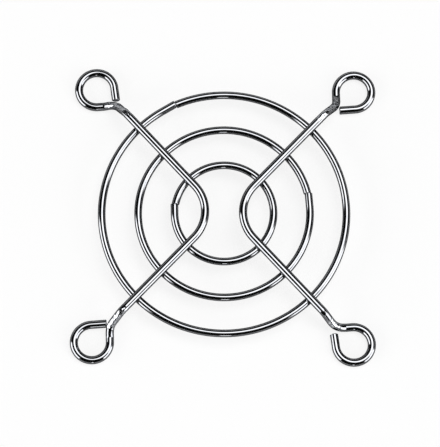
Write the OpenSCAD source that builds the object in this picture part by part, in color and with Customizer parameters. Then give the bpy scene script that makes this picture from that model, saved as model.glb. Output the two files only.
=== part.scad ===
// Wire fan guard for a 60 mm axial fan.
// Three concentric rings are resistance-welded under two bent support wires.
// Each support wire is one length of wire: a rounded corner, two arms and two eyelets.
// The origin is the guard's centre, on the plane that the eyelets rest on.

/* [Mounting] */
// Distance between neighbouring screw centres, the same both ways
hole_spacing = 50; // [44:0.5:64]
// Bore of each eyelet, a free fit on an M5 screw
eye_bore = 5.34; // [4.4:0.02:6.4]
// Depth of the narrow land that the winding pin presses into the bore
land_depth = 0.03; // [0.02:0.01:0.06]

/* [Wire] */
// Diameter of the support wire
support_wire = 1.6; // [1.3:0.05:1.9]
// Diameter of the ring wire
ring_wire = 1.5; // [1.2:0.05:1.8]
// Amount that a wire's diameter draws down where it is bent
bend_draw = 0.02; // [0.01:0.01:0.04]
// Depth that each ring sinks into a support wire at a weld
weld_sink = 0.2; // [0.1:0.02:0.3]
// Chamfer that the shear leaves on a cut end
cut_chamfer = 0.18; // [0.05:0.01:0.3]

/* [Rings] */
// Centre-line diameter of the inner ring
inner_ring_d = 19; // [18:0.1:23]
// Step in radius from one ring to the next
ring_pitch = 7; // [5.8:0.1:7.4]
// Height of the rings' centre lines above the eyelets' centre lines
ring_lift = 2.5; // [1.8:0.1:3.4]
// Directions of the butt seams in the inner, middle and outer ring
seam_angles = [170, 14, 114]; // [0:1:359]
// Side of each seam where the wire stands out, 1 for counter-clockwise and -1 for clockwise
seam_sides = [1, -1, 1]; // [-1:2:1]
// Sideways step between the two ends at a seam
seam_step = 0.18; // [0.05:0.01:0.3]
// Length of the end that the rolls leave straight on the other side of a seam
seam_end = 0.6; // [0.3:0.1:1.5]
// Width of the notch that stays between the two ends
seam_notch = 0.12; // [0.05:0.01:0.2]
// Depth of the notch
seam_depth = 0.1; // [0.05:0.01:0.2]

/* [Support wires] */
// Distance from the guard's centre to the point where a support's two arms would cross
corner_offset = 0.88; // [0.5:0.02:2]
// Centre-line radius of the rounded corner
corner_r = 7.4; // [5.5:0.1:7.8]
// Distance by which the line of an arm misses the centre of its eyelet
eye_offset = 0.44; // [0.2:0.02:0.8]
// Slope at which each arm steps down to its eyelet
joggle_angle = 40; // [36:1:46]
// Centre-line radius of the bends at the top and the foot of the slope
joggle_r = 1.6; // [1.3:0.05:2]
// Centre-line radius of the neck bend, which lies on the slope
neck_r = 4; // [3:0.1:4.8]
// Straight length between the neck bend and the foot of the slope
neck_lead = 0.2; // [0.15:0.05:0.4]
// Turn in plan from the arm to the neck of the open eyelet and of the closed eyelet
neck_turns = [51.5, 45]; // [40:0.5:54]
// Turn of the loop at the open eyelet and at the closed eyelet
loop_turns = [266, 267]; // [266:1:272]
// Straight tail after the loop of the open eyelet and of the closed eyelet
tail_lengths = [2.5, 2.9]; // [1.6:0.1:2.9]

/* [Hidden] */
// The two ends of a support wire, and the sides that a bend can turn to
OPEN = 0;
CLOSED = 1;
LEFT = 0;
UP = 90;
RIGHT = 180;
DOWN = -90;
// The rings in order
INNER = 0;
MIDDLE = 1;
OUTER = 2;

// Centre-line radius of an eyelet's loop, measured out from the land in its bore
loop_r = (eye_bore + support_wire) / 2 - land_depth;
// Centre-line heights of the eyelets, the rings and the arms
eye_z = support_wire / 2;
ring_z = eye_z + ring_lift;
arm_z = ring_z + (ring_wire + support_wire) / 2 - weld_sink;
drop = arm_z - eye_z;
// Direction of an arm from the X axis, so that its line misses the eyelet by eye_offset
eye_x = hole_spacing / 2 - corner_offset;
eye_y = hole_spacing / 2;
eye_reach = norm([eye_x, eye_y]);
miss_angle = asin(eye_offset / eye_reach);
arm_angle = atan2(eye_y, eye_x) + miss_angle;
// The corner turns from one arm's direction to the other's
corner_half = 90 - arm_angle;
corner_tangent = corner_r * tan(corner_half);
corner_centre_x = -corner_offset - corner_r / cos(corner_half);
// Turn of the neck bend in its sloping plane, and the bend that brings the neck level again
neck_sweeps = [for (turn = neck_turns) atan(tan(turn) * cos(joggle_angle))];
level_turns = [for (sweep = neck_sweeps) asin(cos(sweep) * sin(joggle_angle))];
// Side that the levelling bend turns to, straight up as seen from the end of the neck bend
up_sides = [for (end = [OPEN, CLOSED])
    let (turn = neck_turns[end], sweep = neck_sweeps[end], level = level_turns[end])
    let (rise = [sin(level) * cos(turn), sin(level) * sin(turn), cos(level)])
    let (left = [-sin(sweep) * cos(joggle_angle), cos(sweep), sin(sweep) * sin(joggle_angle)])
    let (up = [sin(joggle_angle), 0, cos(joggle_angle)])
    atan2(rise * up, rise * left)];
// Length along the neck bend and the lead after it, as seen down the slope
neck_runs = [for (sweep = neck_sweeps) neck_r * sin(sweep) + neck_lead * cos(sweep)];
// Straight slope before the neck bend, which makes up the rest of the drop
slope_lengths = [for (end = [OPEN, CLOSED])
    (drop - joggle_r * (2 - cos(joggle_angle) - cos(level_turns[end]))) / sin(joggle_angle)
    - neck_runs[end]];
// Sideways shift in plan from the arm's line to the foot of the slope
neck_shifts = [for (end = [OPEN, CLOSED])
    neck_r * (1 - cos(neck_sweeps[end])) + neck_lead * sin(neck_sweeps[end])
    + joggle_r * sin(level_turns[end]) * sin(neck_turns[end])];
// Straight length of each neck, which brings its loop to the screw centre
misses = [eye_offset, -eye_offset];
neck_lengths = [for (end = [OPEN, CLOSED])
    (misses[end] - neck_shifts[end] + loop_r * cos(neck_turns[end])) / sin(neck_turns[end])];
// Distance along an arm's line from the top of the slope to the eyelet's centre
eye_distances = [for (end = [OPEN, CLOSED])
    joggle_r * sin(joggle_angle) + (slope_lengths[end] + neck_runs[end]) * cos(joggle_angle)
    + (joggle_r * sin(level_turns[end]) + neck_lengths[end]) * cos(neck_turns[end])
    + loop_r * sin(neck_turns[end])];
arm_lengths = [for (end = [OPEN, CLOSED])
    eye_reach * cos(miss_angle) - corner_tangent - eye_distances[end]];
// Centre-line radius of each ring
ring_radii = [for (n = [INNER, MIDDLE, OUTER]) inner_ring_d / 2 + n * ring_pitch];

// Each bend runs this far into the straights beside it, so that they join as one solid
bite = 0.05;
wire_fn = 48;
sweep_fn = 160;

// Angle of an arc of the given length
function arc_angle(length, radius) = length / radius * 180 / PI;

// Arc of bent wire about the Z axis, from one angle to another, with a bite at each end
module bent_wire(radius, from, to, wire) {
    over = arc_angle(bite, radius);
    rotate([0, 0, from - over])
        rotate_extrude(angle = to - from + 2 * over, $fn = sweep_fn)
            translate([radius, 0])
                circle(d = wire - bend_draw, $fn = wire_fn);
}

// Straight length of support wire along +X; what follows starts at its end
module feed(length) {
    rotate([0, 90, 0])
        cylinder(d = support_wire, h = length, $fn = wire_fn);
    translate([length, 0, 0])
        children();
}

// Bend in the support wire, from +X towards a side; what follows starts at its end
module bend(radius, turn, side) {
    rotate([side, 0, 0])
        translate([0, radius, 0]) {
            bent_wire(radius, -90, turn - 90, support_wire);
            rotate([0, 0, turn])
                translate([0, -radius, 0])
                    rotate([-side, 0, 0])
                        children();
        }
}

// Straight end of the support wire along +X, sheared off with a chamfered edge
module cut_end(length) {
    wire_r = support_wire / 2;
    rotate([0, 90, 0])
        rotate_extrude($fn = wire_fn)
            polygon([
                [0, 0],
                [wire_r, 0],
                [wire_r, length - cut_chamfer],
                [wire_r - cut_chamfer, length],
                [0, length]
            ]);
}

// Rounded corner in the middle of the left support
module corner() {
    translate([corner_centre_x, 0, arm_z])
        bent_wire(corner_r, -corner_half, corner_half, support_wire);
}

// Arm of the left support, from the corner outwards
module arm(end) {
    translate([-corner_offset, 0, arm_z])
        rotate([0, 0, end == OPEN ? 180 - arm_angle : arm_angle - 180])
            translate([corner_tangent, 0, 0])
                feed(arm_lengths[end])
                    children();
}

// Step down from the arm to the height of the eyelet, with the neck bend on the slope
module joggle(end) {
    bend(joggle_r, joggle_angle, DOWN)
        feed(slope_lengths[end])
            bend(neck_r, neck_sweeps[end], LEFT)
                feed(neck_lead)
                    bend(joggle_r, level_turns[end], up_sides[end])
                        children();
}

// Level neck, loop and cut-off tail of one eyelet, which follow the joggle
module eyelet(end) {
    feed(neck_lengths[end])
        bend(loop_r, loop_turns[end], RIGHT + up_sides[end] - UP)
            cut_end(tail_lengths[end]);
}

// The land that the winding pin leaves on the inside of an eyelet
module pin_land(y) {
    translate([-hole_spacing / 2, y, 0])
        cylinder(d = eye_bore, h = support_wire, $fn = sweep_fn);
}

module support() {
    difference() {
        union() {
            corner();
            arm(OPEN) joggle(OPEN) eyelet(OPEN);
            arm(CLOSED) joggle(CLOSED) eyelet(CLOSED);
        }
        pin_land(hole_spacing / 2);
        pin_land(-hole_spacing / 2);
    }
}

// Straight end of a ring, from its tangent point to the notch at the seam on the X axis
module ring_end(radius, length) {
    turn = atan(length / radius);
    difference() {
        rotate([0, 0, turn])
            translate([radius, 0, 0])
                rotate([90, 0, 0])
                    cylinder(d = ring_wire, h = length + ring_wire, $fn = wire_fn);
        translate([radius - ring_wire, seam_notch / 2 - 3 * ring_wire, -ring_wire])
            cube([2 * ring_wire, 3 * ring_wire, 2 * ring_wire]);
    }
}

// Rolled ring with its seam on the X axis; the longer straight end makes the step
module rolled_ring(radius) {
    short_x = norm([radius, seam_end]);
    long_x = short_x + seam_step;
    long_end = sqrt(long_x ^ 2 - radius ^ 2);
    bent_wire(radius, atan(long_end / radius), 360 - atan(seam_end / radius), ring_wire);
    ring_end(radius, long_end);
    mirror([0, 1, 0])
        ring_end(radius, seam_end);
    // The weld between the two ends, at the bottom of the notch
    translate([(short_x + long_x) / 2, 0, 0])
        rotate([90, 0, 0])
            cylinder(d = ring_wire - seam_step - 2 * seam_depth, h = seam_notch + 2 * bite,
                center = true, $fn = wire_fn);
}

// Each weld seats a ring in a saddle that fits the support wire
module ring(n) {
    difference() {
        translate([0, 0, ring_z])
            rotate([0, 0, seam_angles[n]])
                mirror([0, seam_sides[n] < 0 ? 1 : 0, 0])
                    rolled_ring(ring_radii[n]);
        for (turn = [0, 180])
            rotate([0, 0, turn]) {
                arm(OPEN);
                arm(CLOSED);
            }
    }
}

module support_left() {
    color("gainsboro")
        support();
}

module support_right() {
    color("gainsboro")
        rotate([0, 0, 180])
            support();
}

module ring_outer() {
    color("silver")
        ring(OUTER);
}

module ring_middle() {
    color("silver")
        ring(MIDDLE);
}

module ring_inner() {
    color("silver")
        ring(INNER);
}

support_left();
support_right();
ring_outer();
ring_middle();
ring_inner();
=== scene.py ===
"""Wire fan guard for a 60 mm fan: two bent support wires over three rings, welded and chrome-plated."""
import math

import bpy
import numpy as np
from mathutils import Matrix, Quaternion, Vector


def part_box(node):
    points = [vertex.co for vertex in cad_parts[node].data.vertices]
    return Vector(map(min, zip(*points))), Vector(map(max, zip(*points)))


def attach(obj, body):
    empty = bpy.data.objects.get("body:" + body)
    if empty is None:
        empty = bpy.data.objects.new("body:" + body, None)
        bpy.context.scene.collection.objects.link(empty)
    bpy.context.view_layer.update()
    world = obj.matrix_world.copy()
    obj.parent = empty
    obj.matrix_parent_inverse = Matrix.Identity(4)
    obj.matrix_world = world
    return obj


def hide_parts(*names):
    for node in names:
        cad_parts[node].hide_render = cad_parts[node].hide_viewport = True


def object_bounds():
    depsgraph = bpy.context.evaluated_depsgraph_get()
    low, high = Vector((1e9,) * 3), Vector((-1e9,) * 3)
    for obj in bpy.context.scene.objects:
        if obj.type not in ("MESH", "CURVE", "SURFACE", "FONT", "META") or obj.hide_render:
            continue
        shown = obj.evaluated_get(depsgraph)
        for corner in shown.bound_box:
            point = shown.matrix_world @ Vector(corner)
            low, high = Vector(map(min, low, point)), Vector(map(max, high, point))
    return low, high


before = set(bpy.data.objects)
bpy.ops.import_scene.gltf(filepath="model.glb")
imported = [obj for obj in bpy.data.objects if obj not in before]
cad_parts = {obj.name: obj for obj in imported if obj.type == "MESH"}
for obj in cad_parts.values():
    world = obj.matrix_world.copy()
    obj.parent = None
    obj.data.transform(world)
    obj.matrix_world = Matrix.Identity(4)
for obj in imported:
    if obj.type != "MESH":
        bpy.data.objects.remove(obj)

cad_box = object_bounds()
scene = bpy.context.scene
scene.view_settings.view_transform = "Standard"
MM = 0.001


# ---- Camera ------------------------------------------------------------------------------------
# A long lens looks down on the guard from the front, a little off the vertical, from over half a
# metre away. It aims a touch below and left of the guard's middle, which leaves room below it.
CAMERA_ELEVATION = math.radians(76.6)
CAMERA_DISTANCE = 581 * MM
FIELD_AT_GUARD = 85.86 * MM
SENSOR = 36.0
GUARD_MIDDLE = Vector((0, 0, 3.0 * MM))
AIM = GUARD_MIDDLE + Vector((-0.76 * MM, -1.955 * MM, 0))
ROLL = math.radians(0.21)

lens = bpy.data.cameras.new("camera")
lens.sensor_width = SENSOR
lens.lens = SENSOR * CAMERA_DISTANCE / FIELD_AT_GUARD
lens.clip_start, lens.clip_end = 0.01, 20
camera = bpy.data.objects.new("camera", lens)
scene.collection.objects.link(camera)
towards_camera = Vector((0, -math.cos(CAMERA_ELEVATION), math.sin(CAMERA_ELEVATION)))
camera.location = GUARD_MIDDLE + towards_camera * CAMERA_DISTANCE
camera.rotation_mode = "QUATERNION"
camera.rotation_quaternion = ((AIM - camera.location).to_track_quat("-Z", "Y")
                              @ Quaternion((0, 0, 1), ROLL))
scene.camera = camera


# ---- Support wires -----------------------------------------------------------------------------
# Each is one length of hard-drawn steel wire, fed through a bender: a rounded corner, two arms that
# step down in a joggle, and an eyelet at each end. The joggle is pressed in a die, which scuffs it,
# and the ends are sheared off. The right wire is the same part turned half round.
SUPPORT_WIRE = 1.6
BEND_DRAW = 0.02  # bends are this much thinner, and here the whole wire is, to stay in the CAD's box
SUPPORT_INSET = 0.0056  # mean depth of the drawn wire's uneven surface below the round one
UNEVEN = 0.002  # how far the surface rises and falls about that depth
HOLE_SPACING = 50
EYE_BORE = 5.34
LAND_DEPTH = 0.03
CORNER_OFFSET, CORNER_R = 0.88, 7.4
EYE_OFFSET = 0.44
JOGGLE_ANGLE, JOGGLE_R = math.radians(40), 1.6
NECK_LEAD, NECK_R = 0.2, 4.0
EYE_Z = SUPPORT_WIRE / 2
ARM_Z = cad_box[1].z / MM - SUPPORT_WIRE / 2

# Each wire has an eyelet whose cut end stands off its neck and one whose cut end comes close to it.
OPEN, CLOSED = 0, 1
NECK_TURN = np.radians([51.5, 45])
LOOP_TURN = np.radians([266, 267])
TAIL = [2.5, 2.9]

# The side that a bend goes to is an angle round the wire, from its left through its top.
LEFT, UP, RIGHT, DOWN = 0, math.pi / 2, math.pi, -math.pi / 2

# Lengths between the rows of the mesh, and the number of points round the wire.
ARM_STEP, JOGGLE_STEP, LOOP_STEP, TAIL_STEP = 0.16, 0.05, 0.09, 0.07
AROUND = 64

# The die's flats: how deep they are, how far their dents and grain rise and fall, and half their
# width in radians. Each one then has its start and stop, in millimetres past the joggle's start, and
# the degrees by which it leans over, for the open end and the closed end of both wires.
SCUFF_DEPTH, SCUFF_DENTS, SCUFF_GRAIN = 0.06, 0.045, 0.012
SCUFF_HALF = 1.0
LEFT_SCUFFS = ((-0.4, 5.6, -28), (-0.4, 4.6, -30))
RIGHT_SCUFFS = ((2.4, 5.2, -10), (-1.2, 4.4, -33))

# The sheared ends: where the blade came in, in radians round the wire from its left, how far the
# metal is rolled over, burred, torn and bulged there, and how scuffed it is.
BLADE_SIDE = 1.9
ROLL_OVER, BURR, TEAR, CUT_BULGE = 0.12, 0.16, 0.035, 0.17
CUT_WEAR = 0.7

CHROME = (0.295, 0.299, 0.309)
HAZED = (0.2478, 0.2556, 0.2719)
SCRAPED = (0.68, 0.70, 0.735)

loop_r = (EYE_BORE + SUPPORT_WIRE) / 2 - LAND_DEPTH
eye_x, eye_y = HOLE_SPACING / 2 - CORNER_OFFSET, HOLE_SPACING / 2
eye_reach = math.hypot(eye_x, eye_y)
miss_angle = math.asin(EYE_OFFSET / eye_reach)
arm_angle = math.atan2(eye_y, eye_x) + miss_angle
corner_turn = math.pi - 2 * arm_angle
corner_tangent = CORNER_R * math.tan(corner_turn / 2)
arm_heading = [math.pi - arm_angle, arm_angle - math.pi]


def turned_x(angle):
    """Matrix of a turn about the X axis."""
    c, s = math.cos(angle), math.sin(angle)
    return np.array([[1, 0, 0], [0, c, -s], [0, s, c]])


def turned_z(angles):
    """Stack of matrices, one turn about the Z axis for each angle."""
    c, s, zero, one = np.cos(angles), np.sin(angles), 0 * angles, 0 * angles + 1
    return np.stack([c, -s, zero, s, c, zero, zero, zero, one], -1).reshape(-1, 3, 3)


class Wire:
    """A wire's centre line, grown by feeding and bending: rows of points and of section frames.

    A frame's columns are forward, left and up. Feeding goes on along forward. Bending turns the
    frame about an axis at right angles to it, so the section never twists."""

    def __init__(self, start, heading):
        self.at = np.array(start, float)
        self.frame = turned_z(np.array([heading]))[0]
        self.points, self.frames = [self.at[None]], [self.frame[None]]

    def feed(self, length, step):
        """Goes straight on for a length."""
        along = np.linspace(0, length, max(2, round(length / step)))[1:, None]
        self.points.append(self.at + along * self.frame[:, 0])
        self.frames.append(np.repeat(self.frame[None], len(along), 0))
        self.at = self.points[-1][-1]
        return self

    def bend(self, radius, turn, side, step):
        """Points at radius * (sin t, 1 - cos t) towards the side, with the frame turned by t."""
        t = np.linspace(0, turn, max(3, round(radius * turn / step)))[1:]
        tilt = turned_x(side)
        local = radius * np.stack([np.sin(t), 1 - np.cos(t), 0 * t], -1) @ tilt.T
        self.points.append(self.at + local @ self.frame.T)
        self.frames.append(self.frame @ tilt @ turned_z(t) @ tilt.T)
        self.at, self.frame = self.points[-1][-1], self.frames[-1][-1]
        return self

    def rows(self):
        """All points and all frames so far."""
        return np.concatenate(self.points), np.concatenate(self.frames)


def lengths(points):
    """Length along a centre line up to each of its rows."""
    steps = np.linalg.norm(np.diff(points, axis=0), axis=1)
    return np.concatenate([[0], np.cumsum(steps)])


def half_support(end):
    """Centre line from the corner's tangent point out to the cut end, and the arm's length. The
    joggle bends down, runs straight, takes the neck bend in its sloping plane, and bends level
    again. Its straight slope makes up the rest of the drop from the arm to the eyelet."""
    # The neck turns by sweep in its sloping plane, and the last bend, by level, brings it level.
    turn = NECK_TURN[end]
    sweep = math.atan(math.tan(turn) * math.cos(JOGGLE_ANGLE))
    level = math.asin(math.cos(sweep) * math.sin(JOGGLE_ANGLE))

    # The neck bend and its lead run down the slope, and the straight slope is what is left of it.
    run = NECK_R * math.sin(sweep) + NECK_LEAD * math.cos(sweep)
    slope = ((ARM_Z - EYE_Z - JOGGLE_R * (2 - math.cos(JOGGLE_ANGLE) - math.cos(level)))
             / math.sin(JOGGLE_ANGLE) - run)

    # The level neck makes up the sideways distance between the arm's line and the eyelet's centre.
    shift = (NECK_R * (1 - math.cos(sweep)) + NECK_LEAD * math.sin(sweep)
             + JOGGLE_R * math.sin(level) * math.sin(turn))
    miss = EYE_OFFSET if end == OPEN else -EYE_OFFSET
    neck = (miss - shift + loop_r * math.cos(turn)) / math.sin(turn)

    # The arm makes up the distance along its line from the corner to the eyelet's centre.
    to_eye = (JOGGLE_R * math.sin(JOGGLE_ANGLE) + (slope + run) * math.cos(JOGGLE_ANGLE)
              + (JOGGLE_R * math.sin(level) + neck) * math.cos(turn) + loop_r * math.sin(turn))
    arm = eye_reach * math.cos(miss_angle) - corner_tangent - to_eye

    heading = arm_heading[end]
    start = [-CORNER_OFFSET + corner_tangent * math.cos(heading),
             corner_tangent * math.sin(heading), ARM_Z]
    wire = Wire(start, heading).feed(arm, ARM_STEP)
    wire.bend(JOGGLE_R, JOGGLE_ANGLE, DOWN, JOGGLE_STEP).feed(slope, JOGGLE_STEP)
    wire.bend(NECK_R, sweep, LEFT, JOGGLE_STEP).feed(NECK_LEAD, JOGGLE_STEP)
    rise = np.array([math.sin(level) * math.cos(turn + heading),
                     math.sin(level) * math.sin(turn + heading), math.cos(level)])
    up_side = math.atan2(rise @ wire.frame[:, 2], rise @ wire.frame[:, 1])
    wire.bend(JOGGLE_R, level, up_side, JOGGLE_STEP).feed(neck, LOOP_STEP)
    wire.bend(loop_r, LOOP_TURN[end], RIGHT + up_side - UP, LOOP_STEP).feed(TAIL[end], TAIL_STEP)
    return *wire.rows(), arm


def support_line():
    """Centre line of a whole support, from the open eyelet's cut end round the corner to the closed
    one's, and for each end how far every row lies past the start of its joggle."""
    open_points, open_frames, open_arm = half_support(OPEN)
    closed_points, closed_frames, closed_arm = half_support(CLOSED)
    corner = Wire(open_points[0], arm_heading[OPEN] + math.pi)
    corner_points, corner_frames = corner.bend(CORNER_R, corner_turn, RIGHT, ARM_STEP).rows()
    reverse = np.diag([-1.0, -1.0, 1.0])
    points = np.concatenate([open_points[::-1], corner_points[1:], closed_points[1:]])
    frames = np.concatenate([open_frames[::-1] @ reverse, corner_frames[1:], closed_frames[1:]])
    along = lengths(points)
    past_joggle = (lengths(open_points)[-1] - along - open_arm,
                   along - along[-1] + lengths(closed_points)[-1] - closed_arm)
    return points, frames, past_joggle


def smooth(low, high, x):
    """0 below low, 1 above high and an S-curve between. It falls where low is the larger one."""
    t = np.clip((x - low) / (high - low), 0, 1)
    return t * t * (3 - 2 * t)


def mottle(u, v, seed, count_v):
    """Even random mottling from -1 to 1: S-curves between random values on a lattice of whole u
    and v, where v comes round again after count_v."""
    table = np.random.default_rng(seed).uniform(-1, 1, (256, count_v))
    iu, iv = np.floor(u).astype(int), np.floor(v).astype(int)
    fu, fv = smooth(0, 1, u - iu), smooth(0, 1, v - iv)

    def row(a):
        """Values on the lattice line a, blended between its points on both sides of v."""
        return (table[a % len(table), iv % count_v] * (1 - fv)
                + table[a % len(table), (iv + 1) % count_v] * fv)

    return row(iu) * (1 - fu) + row(iu + 1) * fu


def skin(points, frames, radius, around):
    """Surface of a wire: centre + radius * (cos a * left + sin a * up), a going once round."""
    a = np.arange(around) / around * 2 * math.pi
    left, up = frames[:, None, :, 1], frames[:, None, :, 2]
    return points[:, None] + radius[..., None] * (np.cos(a)[:, None] * left
                                                  + np.sin(a)[:, None] * up)


def drawn_radius(wire, inset, along, share, patch, seed):
    """Radius of drawn wire, uneven in patches of the given length, five to a turn."""
    uneven = UNEVEN * mottle(along / patch, share * 5, seed, count_v=5)
    return (wire - BEND_DRAW) / 2 - inset - uneven


def joggle_scuff(along, share, past, above, seed, start, stop, lean):
    """1 on the flat that the joggle's die leaves, and 0 off it, with a ragged edge. Past is how far
    every row lies past the joggle's start, and above is every point's angle from the wire's top."""
    ragged = mottle(along * 1.7, share * 9, seed, count_v=9)
    off = np.abs((above - math.radians(lean) + math.pi) % (2 * math.pi) - math.pi)
    return (smooth(start - 0.25, start + 0.25, past[:, None] + 0.5 * ragged)
            * smooth(stop + 0.3, stop - 0.3, past[:, None] + 0.6 * ragged)
            * smooth(SCUFF_HALF + 0.15, SCUFF_HALF - 0.15, off + 0.3 * ragged))


def press_lands(grid):
    """Pushes the innermost points of each eyelet out to the bore, as the winding pin does."""
    bore_r = EYE_BORE / 2
    for y in (HOLE_SPACING / 2, -HOLE_SPACING / 2):
        centre = np.array([-HOLE_SPACING / 2, y])
        spoke = grid[..., :2] - centre
        reach = np.linalg.norm(spoke, axis=-1, keepdims=True)
        pressed = (reach > bore_r - 2 * LAND_DEPTH) & (reach < bore_r)
        grid[..., :2] = np.where(pressed, centre + spoke * bore_r / reach, grid[..., :2])


def sheared_end(rim, centre, forward, seed):
    """Rows that close a cut end, and its middle point. Each row is the rim drawn in towards the
    centre, rolled over on the blade's side, raised to a burr on the other, and torn between."""
    draw = np.array([0.985, 0.95, 0.9, 0.83, 0.72, 0.58, 0.42, 0.25, 0.1])[:, None]
    share = np.arange(len(rim)) / len(rim)
    blade = 0.5 + 0.5 * np.cos(share * 2 * math.pi - BLADE_SIDE)
    burr = np.exp(-((draw - 0.93) / 0.07) ** 2) * smooth(0.55, 1, 1 - blade) * BURR
    rolled = smooth(1.0, 0.62, draw) * ROLL_OVER * (0.5 + blade)
    torn = TEAR * mottle(draw * 9, share[None] * 10, seed, count_v=10) * smooth(1, 0.8, draw)
    rows = (centre + draw[..., None] * (rim - centre)
            + (burr + rolled + torn)[..., None] * forward)
    return rows, centre + CUT_BULGE * forward


def grid_faces(rows, around, closed):
    """Quads between neighbouring rows of a grid. In a closed grid the last row meets the first."""
    i, j = np.meshgrid(np.arange(rows if closed else rows - 1), np.arange(around), indexing="ij")
    after, beside = (i + 1) % rows, (j + 1) % around
    return np.stack([i * around + j, i * around + beside,
                     after * around + beside, after * around + j], -1).reshape(-1, 4)


def tube_mesh(name, grid, closed, poles=()):
    """Mesh of a wire from a grid of rows round it. An open one ends in a fan to each pole. The grid
    is in millimetres, and the UV map holds the millimetres along and the share of the way round."""
    rows, around = grid.shape[:2]
    quads = grid_faces(rows, around, closed)
    points, faces = grid.reshape(-1, 3), quads.tolist()
    if len(poles):
        first, last = len(points), len(points) + 1
        points = np.concatenate([points, poles])
        ring = np.arange(around)
        faces += np.stack([np.roll(ring, -1), ring, 0 * ring + first], -1).tolist()
        ring = ring + (rows - 1) * around
        faces += np.stack([ring, np.roll(ring, -1), 0 * ring + last], -1).tolist()
    mesh = bpy.data.meshes.new(name)
    mesh.from_pydata((points * MM).tolist(), [], faces)
    mesh.shade_smooth()
    mesh.set_sharp_from_angle(angle=math.radians(42))
    along = lengths(grid.mean(1))
    along = np.append(along, along[-1] + 0.1)
    i, j = np.divmod(quads[:, 0], around)
    u = np.stack([along[i], along[i], along[i + 1], along[i + 1]], -1)
    v = np.stack([j, j + 1, j + 1, j], -1) / around
    uv = np.zeros((len(mesh.loops), 2))
    uv[:u.size] = np.stack([u.ravel(), v.ravel()], -1)
    mesh.uv_layers.new(name="along_round").data.foreach_set("uv", uv.ravel())
    return mesh


def mesh_piece(name, mesh, material):
    """Object that shows a mesh in one material."""
    mesh.materials.append(material)
    piece = bpy.data.objects.new(name, mesh)
    scene.collection.objects.link(piece)
    return piece


class Flow:
    """A shader value that takes part in sums: each operator adds a Math node."""

    def __init__(self, tree, socket):
        self.tree, self.socket = tree, socket

    def _math(self, operation, a, b):
        return add_node(self.tree, "ShaderNodeMath", {"operation": operation}, {0: a, 1: b})

    def __add__(self, other):
        return self._math("ADD", self, other)

    def __radd__(self, other):
        return self._math("ADD", other, self)

    def __rsub__(self, other):
        return self._math("SUBTRACT", other, self)

    def __mul__(self, other):
        return self._math("MULTIPLY", self, other)

    def __rmul__(self, other):
        return self._math("MULTIPLY", other, self)

    def largest(self, other):
        return self._math("MAXIMUM", self, other)

    def between(self, low, high):
        """0 below low, 1 above high and an S-curve between."""
        return add_node(self.tree, "ShaderNodeMapRange", {"interpolation_type": "SMOOTHSTEP"},
                        {"Value": self, "From Min": low, "From Max": high})


def add_node(tree, kind, settings=None, inputs=None, output=0):
    """Adds a node, sets it up, fills or links its inputs, and returns one of its outputs."""
    node = tree.nodes.new(kind)
    for key, value in (settings or {}).items():
        setattr(node, key, value)
    for key, value in (inputs or {}).items():
        if isinstance(value, Flow):
            tree.links.new(value.socket, node.inputs[key])
        else:
            node.inputs[key].default_value = value
    return Flow(tree, node.outputs[output]) if len(node.outputs) else None


def chrome(name, scuffs):
    """Bright chrome plate on drawn wire: a mirror with a slight wave, faint lines from the drawing
    die, a haze of fine wiping marks, and where scuffs is set, dull ridged patches where the mesh's
    scuff attribute says so. The black Specular Tint darkens it at its outline."""
    material = bpy.data.materials.new(name)
    material.use_nodes = True
    tree = material.node_tree
    tree.nodes.clear()
    place = add_node(tree, "ShaderNodeTexCoord", output=3)
    flow = add_node(tree, "ShaderNodeUVMap", {"uv_map": "along_round"})

    def noise(where, scale, detail):
        return add_node(tree, "ShaderNodeTexNoise", None,
                        {"Vector": where, "Scale": scale, "Detail": detail})

    def stretched(per_mm, per_turn):
        """The place on the wire, scaled along it and round it."""
        return add_node(tree, "ShaderNodeMapping", None,
                        {"Vector": flow, "Scale": (per_mm, per_turn, 1)})

    def mixed(share, first, second):
        """Colour between two colours."""
        return add_node(tree, "ShaderNodeMix", {"data_type": "RGBA"},
                        {"Factor": share, 6: first, 7: second}, output=2)

    haze = noise(place, 900, 3)
    wave = noise(place, 420, 1)
    drawn = noise(stretched(0.35, 60), 1, 2)
    wiped = noise(place, 6000, 2)
    roughness = 0.02 + 0.03 * haze.between(0.45, 0.75) + 0.02 * drawn.between(0.5, 0.8)
    height = 0.9 * wave + 0.05 * drawn + 0.012 * wiped
    tint = mixed(haze.between(0.35, 0.8), (*CHROME, 1), (*HAZED, 1))
    if scuffs:
        scuff = add_node(tree, "ShaderNodeAttribute", {"attribute_name": "scuff"}, output=2)
        ridges = noise(stretched(14, 7), 1, 3)
        torn = noise(place, 3000, 3)
        roughness = roughness + scuff * (0.06 + 0.22 * torn.between(0.42, 0.62))
        height = height + scuff * (0.5 * ridges + 0.5 * torn)
        tint = mixed(scuff * (1 - 0.75 * torn.between(0.4, 0.62)), tint, (*SCRAPED, 1))
    bump = add_node(tree, "ShaderNodeBump", None,
                    {"Strength": 1.0, "Distance": 0.000004, "Height": height})
    surface = add_node(tree, "ShaderNodeBsdfPrincipled", None,
                       {"Base Color": tint, "Metallic": 1.0, "Roughness": roughness,
                        "Specular Tint": (0, 0, 0, 1), "Normal": bump})
    add_node(tree, "ShaderNodeOutputMaterial", None, {"Surface": surface})
    return material


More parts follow.
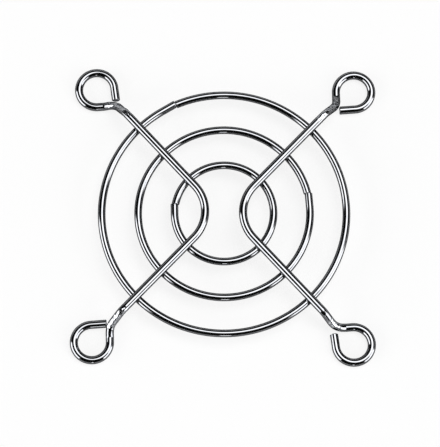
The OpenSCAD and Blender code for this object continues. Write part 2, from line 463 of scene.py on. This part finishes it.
def support_wire(name, node, half_turn, scuffs):
    """Builds one support as a piece that stands for its node."""
    points, frames, past_joggle = support_line()
    along = lengths(points)[:, None]
    share = np.arange(AROUND)[None] / AROUND
    above = share * 2 * math.pi - np.arctan2(frames[:, 2, 2], frames[:, 2, 1])[:, None]
    scuff = np.maximum(*(joggle_scuff(along, share, past_joggle[end], above, seed, *scuffs[end])
                         for end, seed in ((OPEN, 3), (CLOSED, 8))))
    dents = (SCUFF_DENTS * mottle(along * 1.6, share * 7, seed=5, count_v=7)
             + SCUFF_GRAIN * mottle(along * 4.7, share * 18, seed=6, count_v=18))
    radius = (drawn_radius(SUPPORT_WIRE, SUPPORT_INSET, along, share, patch=2.2, seed=11)
              - scuff * (SCUFF_DEPTH + dents))
    grid = skin(points, frames, radius, AROUND)
    press_lands(grid)
    first, first_pole = sheared_end(grid[0], points[0], -frames[0][:, 0], seed=21)
    last, last_pole = sheared_end(grid[-1], points[-1], frames[-1][:, 0], seed=22)
    grid = np.concatenate([first[::-1], grid, last])
    poles = np.array([first_pole, last_pole])
    if half_turn:
        grid[..., :2], poles[:, :2] = -grid[..., :2], -poles[:, :2]
    mesh = tube_mesh(name, grid, False, poles)
    scuff = np.pad(scuff, ((len(first), len(last)), (0, 0)), constant_values=CUT_WEAR)
    worn = mesh.attributes.new("scuff", "FLOAT", "POINT")
    worn.data.foreach_set("value", np.append(scuff.ravel(), [CUT_WEAR, CUT_WEAR]))
    piece = mesh_piece(name, mesh, support_chrome)
    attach(piece, "root")
    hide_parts(node)


support_chrome = chrome("support_chrome", scuffs=True)
support_wire("support_wire_left", "support_left", False, LEFT_SCUFFS)
support_wire("support_wire_right", "support_right", True, RIGHT_SCUFFS)


# ---- Rings -------------------------------------------------------------------------------------
# Thinner wire, rolled to a circle and cut to length. The rolls leave the two ends straight, and
# they are butt-welded a little out of line, with a fine notch round the joint.
RING_WIRE = 1.5
RING_INSET = 0.0044
SEAM_STEP, SEAM_END = 0.18, 0.6
SEAM_NOTCH, SEAM_DEPTH = 0.12, 0.1
RIM_ROUND = 0.07
RING_STEP, END_STEP, RING_AROUND = 0.15, 0.12, 56

# For each ring, the seam's angle in degrees, and -1 where its longer end lies clockwise of it.
RINGS = {"ring_outer": (114, 1), "ring_middle": (14, -1), "ring_inner": (170, 1)}


def ring_grid(centre_r, seed):
    """Closed grid round a ring whose seam lies on the X axis: notch, long straight end, arc, short
    straight end, notch. Each end is a straight tangent to the arc, cut by the seam's plane."""
    short_x = math.hypot(centre_r, SEAM_END)
    long_x = short_x + SEAM_STEP
    start = math.acos(centre_r / long_x)
    stop = 2 * math.pi - math.atan(SEAM_END / centre_r)
    half_notch = SEAM_NOTCH / 2

    def straight(angle, side):
        """Points from the arc's end along its tangent, up to half a notch from the seam's plane."""
        length = (side * centre_r * math.sin(angle) - half_notch) / math.cos(angle)
        t = np.linspace(0, length, max(6, round(length / END_STEP)))[1:]
        return np.stack([centre_r * math.cos(angle) + side * t * math.sin(angle),
                         centre_r * math.sin(angle) - side * t * math.cos(angle)], -1)

    arc = np.linspace(start, stop, round(centre_r * (stop - start) / RING_STEP))
    first, last = straight(start, 1), straight(stop, -1)
    plan = np.concatenate([first[::-1],
                           centre_r * np.stack([np.cos(arc), np.sin(arc)], -1), last])
    angle = np.concatenate([np.full(len(first), start), arc, np.full(len(last), stop)])
    points = np.column_stack([plan, 0 * angle])
    share = np.arange(RING_AROUND)[None] / RING_AROUND
    along = lengths(points)[:, None]
    radius = drawn_radius(RING_WIRE, RING_INSET, along, share, patch=2.4, seed=seed)
    grid = skin(points, turned_z(angle - math.pi / 2), radius, RING_AROUND)

    def notch_rows(rim, centre_x, y):
        """One end on the seam's plane: the foot of its rounded edge, the edge, the weld's core."""
        rim = rim * np.array([1, 0, 1]) + np.array([0, y, 0])
        spoke = rim - np.array([centre_x, y, 0])
        foot = rim + np.array([0, math.copysign(RIM_ROUND, y), 0])
        edge = rim - spoke * 2 * RIM_ROUND / RING_WIRE
        core_r = (RING_WIRE - SEAM_STEP) / 2 - SEAM_DEPTH
        core = (np.array([(short_x + long_x) / 2, y, 0])
                + spoke / np.linalg.norm(spoke, axis=1, keepdims=True) * core_r)
        return foot, edge, core

    grid[0], edge, core = notch_rows(grid[0], long_x, half_notch)
    grid[-1], far_edge, far_core = notch_rows(grid[-1], short_x, -half_notch)
    return np.concatenate([[core, edge], grid, [far_edge, far_core]])


ring_chrome = chrome("ring_chrome", scuffs=False)
ring_radii, ring_z = {}, {}
for seed, (node, (seam, side)) in enumerate(RINGS.items(), 30):
    low, high = (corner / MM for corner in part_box(node))
    ring_radii[node] = (high.y - low.y - RING_WIRE + BEND_DRAW) / 2
    ring_z[node] = (high.z + low.z) / 2
    grid = ring_grid(ring_radii[node], seed)
    if side < 0:
        grid = grid[::-1] * np.array([1, -1, 1])
    grid = grid @ turned_z(np.array([math.radians(seam)]))[0].T
    grid[..., 2] += ring_z[node]
    piece = mesh_piece(node + "_wire", tube_mesh(node, grid[:, ::-1], True), ring_chrome)
    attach(piece, "root")
    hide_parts(node)


# ---- Welds -------------------------------------------------------------------------------------
# The rings are resistance-welded to the supports. Each crossing has a small collar of squeezed-out
# metal in the corner between the two wires, a little uneven round the joint.
WELD_R, WELD_UNEVEN = 0.16, 0.3
WELD_ROOT = 0.06  # how deep the two edges of the collar's inside lie in the wires
WELD_STEPS, WELD_ARC_STEPS = 96, 9


def weld_collar(crossing, arm_direction, ring_centre_r, ring_depth, seed):
    """Closed grid of one collar. A ball rolls round the crossing and touches both wires: its centre
    runs where the two wires' surfaces, grown by the ball's radius, meet. The collar's outside is
    meant to be the ball's arc between the two touching points. Its inside is a flat strip whose
    edges lie in the wires. Known fault: the strip passes up to 0.07 mm in front of the arc, so the
    two sides cross, and the strip is what shows, with its faces pointing inwards.

    Here x runs along the arm, y across it and z up from its centre line. The ring's centre line
    lies ring_depth lower. It is taken as straight, and the collar is bent to its curve at the end."""
    psi = np.arange(WELD_STEPS) / WELD_STEPS * 2 * math.pi
    uneven = WELD_UNEVEN * mottle(psi * 7 / (2 * math.pi), 0 * psi, seed, count_v=3)
    ball_r = WELD_R * (1 + uneven)
    arm_r, ring_r = SUPPORT_WIRE / 2 + ball_r, RING_WIRE / 2 + ball_r
    across = np.array([-arm_direction[1], arm_direction[0]])
    outward = crossing[:2] / np.linalg.norm(crossing[:2])
    ring_direction = np.array([-outward[1], outward[0]])
    ring_direction = ring_direction * np.sign(across @ ring_direction)
    cos_f, sin_f = arm_direction @ ring_direction, across @ ring_direction

    lowest, highest = -arm_r, ring_r - ring_depth
    z = lowest + (highest - lowest) * np.cos(psi) ** 2
    off_arm = np.sign(np.cos(psi)) * np.sqrt(np.maximum(arm_r ** 2 - z ** 2, 0))
    off_ring = np.sign(np.sin(psi)) * np.sqrt(np.maximum(ring_r ** 2 - (z + ring_depth) ** 2, 0))
    x = (off_arm * cos_f - off_ring) / sin_f
    ball = np.stack([x, off_arm, z], -1)
    on_arm = np.stack([x, 0 * x, 0 * x], -1)
    ring_axis, ring_drop = np.array([cos_f, sin_f, 0]), np.array([0, 0, ring_depth])
    on_ring = ((ball + ring_drop) @ ring_axis)[:, None] * ring_axis - ring_drop
    to_arm = (on_arm - ball) / arm_r[:, None]
    to_ring = (on_ring - ball) / ring_r[:, None]

    opening = np.arccos(np.clip((to_arm * to_ring).sum(-1), -1, 1))[:, None, None]
    t = np.linspace(0, 1, WELD_ARC_STEPS)[None, :, None]
    swing = (np.sin((1 - t) * opening) * to_arm[:, None]
             + np.sin(t * opening) * to_ring[:, None]) / np.sin(opening)
    outside = ball[:, None] + ball_r[:, None, None] * swing
    inside = np.stack([outside[:, -1] + WELD_ROOT * to_ring,
                       outside[:, 0] + WELD_ROOT * to_arm], 1)
    grid = np.concatenate([outside, inside], 1)
    bent = (outside @ ring_axis) ** 2 / (2 * ring_centre_r) * smooth(0, 1, t[..., 0])
    bent = np.concatenate([bent, bent[:, -1:], 0 * bent[:, :1]], 1)
    plan = grid[..., 0, None] * arm_direction + grid[..., 1, None] * across
    return np.concatenate([plan - bent[..., None] * outward + crossing[:2],
                           grid[..., 2:] + crossing[2]], -1)


collars = []
for ring, centre_r in ring_radii.items():
    for heading in arm_heading:
        direction = np.array([math.cos(heading), math.sin(heading)])
        reach = (CORNER_OFFSET * direction[0]
                 + math.sqrt(centre_r ** 2 - (CORNER_OFFSET * direction[1]) ** 2))
        crossing = np.array([-CORNER_OFFSET + reach * direction[0], reach * direction[1], ARM_Z])
        for turn in (1, -1):
            turned = crossing * np.array([turn, turn, 1])
            collars.append(weld_collar(turned, direction * turn, centre_r,
                                       ARM_Z - ring_z[ring], seed=50 + len(collars)))
faces = grid_faces(*collars[0].shape[:2], True)
points_each = collars[0].size // 3
collar_mesh = bpy.data.meshes.new("welds")
collar_mesh.from_pydata((np.concatenate(collars).reshape(-1, 3) * MM).tolist(), [],
                        np.concatenate([faces + k * points_each for k in range(len(collars))]).tolist())
collar_mesh.shade_smooth()
collar_mesh.uv_layers.new(name="along_round")
welds = mesh_piece("welds", collar_mesh, ring_chrome)
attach(welds, "root")


# ---- Floor and light ---------------------------------------------------------------------------
# The guard lies on a wide white sheet in a dark studio with a white cove along the horizon: a round
# soft box overhead, another high on the right, a low one in front on each side, a small spot
# straight in front and a grey wall behind. Where the chrome mirrors the sheet, there is painted
# shade: glossy rays see the white sheet mixed about halfway to black.
FLOOR_COLOUR = (0.98, 0.98, 0.98, 1)
# The second number is painted shade: how far the sheet is mixed towards black where the chrome mirrors
# it.
FLOOR_GLOW, FLOOR_PAINTED_SHADE = 0.82, 0.48
FLOOR_R, FLOOR_SIDES = 6.0, 96
ROOM_GLOW = 0.01

spokes = np.arange(FLOOR_SIDES) / FLOOR_SIDES * 2 * math.pi
disc = bpy.data.meshes.new("floor")
disc.from_pydata(np.column_stack([FLOOR_R * np.cos(spokes), FLOOR_R * np.sin(spokes),
                                  0 * spokes]).tolist(), [], [list(range(FLOOR_SIDES))])
paper = bpy.data.materials.new("floor_sheet")
paper.use_nodes = True
sheet = paper.node_tree
sheet.nodes.clear()
camera_ray, glossy_ray, through_ray = (
    add_node(sheet, "ShaderNodeLightPath", output=k) for k in (0, 3, 6))
matt = add_node(sheet, "ShaderNodeBsdfDiffuse", None, {"Color": FLOOR_COLOUR})
white = add_node(sheet, "ShaderNodeEmission", None, {"Color": (1, 1, 1, 1), "Strength": 1.0})
black = add_node(sheet, "ShaderNodeEmission", None, {"Color": (0, 0, 0, 1), "Strength": 1.0})
lit = add_node(sheet, "ShaderNodeMixShader", None,
               {0: FLOOR_GLOW * camera_ray.largest(through_ray), 1: matt, 2: white})
# Painted shade: glossy rays see the white sheet mixed towards black, which darkens its mirror image in
# the chrome.
seen = add_node(sheet, "ShaderNodeMixShader", None,
                {0: FLOOR_PAINTED_SHADE * glossy_ray, 1: lit, 2: black})
add_node(sheet, "ShaderNodeOutputMaterial", None, {"Surface": seen})
floor = mesh_piece("floor", disc, paper)

world = bpy.data.worlds.new("studio")
scene.world = world
world.use_nodes = True
sky = world.node_tree
sky.nodes.clear()
direction = add_node(sky, "ShaderNodeTexCoord")
x, y, z = (add_node(sky, "ShaderNodeSeparateXYZ", None, {"Vector": direction}, output=k)
           for k in range(3))
height = add_node(sky, "ShaderNodeMath", {"operation": "ARCSINE"}, {0: z})
azimuth = add_node(sky, "ShaderNodeMath", {"operation": "ARCTAN2"}, {0: x, 1: 0 - y})


def panel(low, high, left, right, soft):
    """1 inside a span of elevations and of azimuths from straight in front, 0 outside, with edges
    that are soft to both sides. All are in degrees."""
    edges = [math.radians(edge + side * soft)
             for edge in (low, high, left, right) for side in (-1, 1)]
    return (height.between(*edges[0:2]) * (1 - height.between(*edges[2:4]))
            * azimuth.between(*edges[4:6]) * (1 - azimuth.between(*edges[6:8])))


def disc_light(towards, half, soft):
    """1 within half degrees of a direction, 0 outside, with a soft edge."""
    d = Vector(towards).normalized()
    facing = x * d.x + y * d.y + z * d.z
    return facing.between(math.cos(math.radians(half + soft)), math.cos(math.radians(half - soft)))


above_cove = height.between(math.radians(2), math.radians(4))
back_wall = (0.45 * (x * -0.36 + y * 0.93).between(0.62, 0.86)
             * (1 - height.between(math.radians(14), math.radians(34))))
top = 4.1 * disc_light((0.27, 0.18, 0.946), 20.5, 3)
shoulder = 2.4 * panel(32, 54, 66, 94, 3)
spot = 4 * panel(4, 14, -1.5, 4.5, 1)
front_right = 3.9 * panel(0, 36, 41, 87, 3)
front_left = 4.1 * panel(0, 36, -100, -45, 3)
room = ROOM_GLOW + back_wall + top + shoulder + spot
light = 1 - above_cove + above_cove * room + front_right + front_left
glow = add_node(sky, "ShaderNodeBackground", None, {"Color": (1, 1, 1, 1), "Strength": light})
add_node(sky, "ShaderNodeOutputWorld", None, {"Surface": glow})
